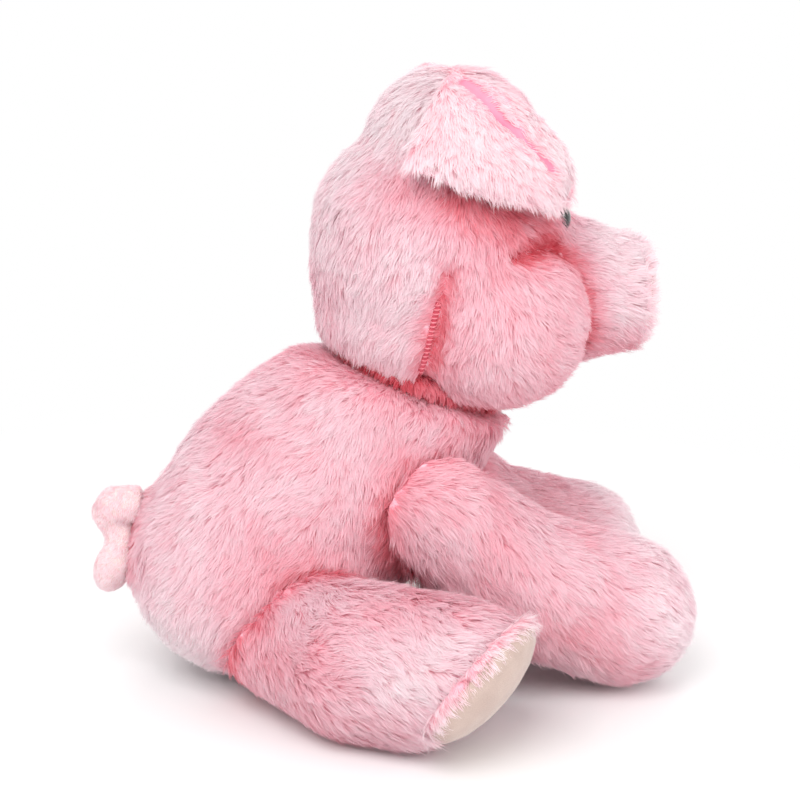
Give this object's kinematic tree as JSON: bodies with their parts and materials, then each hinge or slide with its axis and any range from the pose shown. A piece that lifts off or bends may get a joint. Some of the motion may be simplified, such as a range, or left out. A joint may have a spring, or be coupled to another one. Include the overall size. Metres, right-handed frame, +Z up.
{
  "type": "plush pig",
  "caption": "Sitting plush pig with a round snout, folded ears, splayed hind legs with smooth soles, and a curled tail; its head, legs, ears and tail flex at their seams.",
  "frame": {"origin": "middle of the flat under the rump, on the surface that the pig sits on", "axes": "+Z up, -Y the way the pig faces, +X to the pig's own left"},
  "size_m": [0.3664, 0.3426, 0.354],
  "materials": {
    "pink_plush": "long pink pile",
    "pale_plush": "long pale pink pile",
    "cream_velour": "short cream velour",
    "pink_satin": "smooth pink cloth",
    "fibre_filling": "loose white fibre",
    "pink_thread": "embroidery thread",
    "black_plastic": "polished black",
    "white_plastic": "plain moulded"
  },
  "bodies": {
    "torso": {"torso_skin": "pink_plush", "torso_filling": "fibre_filling"},
    "neck": {"neck_filling": "fibre_filling"},
    "head": {"head_back_panel": "pink_plush", "forehead_panel": "pink_plush", "chin_panel": "pink_plush", "head_filling": "fibre_filling", "cheek_left": "pink_plush", "cheek_right": "pink_plush", "snout_sleeve": "pink_plush", "snout_disc": "cream_velour", "nostril_left": "pink_thread", "nostril_right": "pink_thread", "eye_left": "black_plastic", "eye_right": "black_plastic", "eye_washer_left": "white_plastic", "eye_washer_right": "white_plastic"},
    "ear_left": {"ear_left": "pale_plush", "ear_lining_left": "pink_satin"},
    "ear_right": {"ear_right": "pale_plush", "ear_lining_right": "pink_satin"},
    "front_leg_left": {"front_leg_left_skin": "pink_plush", "front_leg_left_filling": "fibre_filling"},
    "front_leg_right": {"front_leg_right_skin": "pink_plush", "front_leg_right_filling": "fibre_filling"},
    "hind_leg_left": {"hind_leg_left_skin": "pink_plush", "hind_leg_left_filling": "fibre_filling", "sole_left": "cream_velour"},
    "hind_leg_right": {"hind_leg_right_skin": "pink_plush", "hind_leg_right_filling": "fibre_filling", "sole_right": "cream_velour"},
    "tail": {"tail": "cream_velour"}
  },
  "joints": [
    {"name": "neck_turn", "type": "hinge", "parent": "torso", "child": "neck", "pos_m": [0, -0.099, 0.177], "axis": [0, -0.3584, 0.9336], "range_deg": [-20, 20], "stiffness_Nm_per_rad": 1.5},
    {"name": "neck_nod", "type": "hinge", "parent": "neck", "child": "head", "pos_m": [0, -0.099, 0.177], "axis": [1, 0, 0], "range_deg": [-6, 6], "stiffness_Nm_per_rad": 4},
    {"name": "shoulder_left", "type": "hinge", "parent": "torso", "child": "front_leg_left", "pos_m": [0.048, -0.098, 0.113], "axis": [-1, 0, 0], "range_deg": [-8, 25], "stiffness_Nm_per_rad": 1.5},
    {"name": "shoulder_right", "type": "hinge", "parent": "torso", "child": "front_leg_right", "pos_m": [-0.048, -0.098, 0.113], "axis": [-1, 0, 0], "range_deg": [-8, 25], "stiffness_Nm_per_rad": 1.5},
    {"name": "hip_left", "type": "hinge", "parent": "torso", "child": "hind_leg_left", "pos_m": [0.056, -0.018, 0.042], "axis": [-0.766, 0, 0.6428], "range_deg": [-3, 14], "stiffness_Nm_per_rad": 2},
    {"name": "hip_right", "type": "hinge", "parent": "torso", "child": "hind_leg_right", "pos_m": [-0.056, -0.018, 0.042], "axis": [-0.766, 0, -0.6428], "range_deg": [-3, 14], "stiffness_Nm_per_rad": 2},
    {"name": "ear_left_lift", "type": "hinge", "parent": "head", "child": "ear_left", "pos_m": [0.0542, -0.1005, 0.3285], "axis": [-0.4991, -0.4774, 0.7232], "range_deg": [-3, 35], "stiffness_Nm_per_rad": 0.2},
    {"name": "ear_right_lift", "type": "hinge", "parent": "head", "child": "ear_right", "pos_m": [-0.0541, -0.1005, 0.3285], "axis": [-0.4956, 0.4785, -0.7249], "range_deg": [-3, 35], "stiffness_Nm_per_rad": 0.2},
    {"name": "tail_swing", "type": "hinge", "parent": "torso", "child": "tail", "pos_m": [0, 0.071, 0.104], "axis": [1, 0, 0], "range_deg": [0, 20], "stiffness_Nm_per_rad": 0.05}
  ]
}
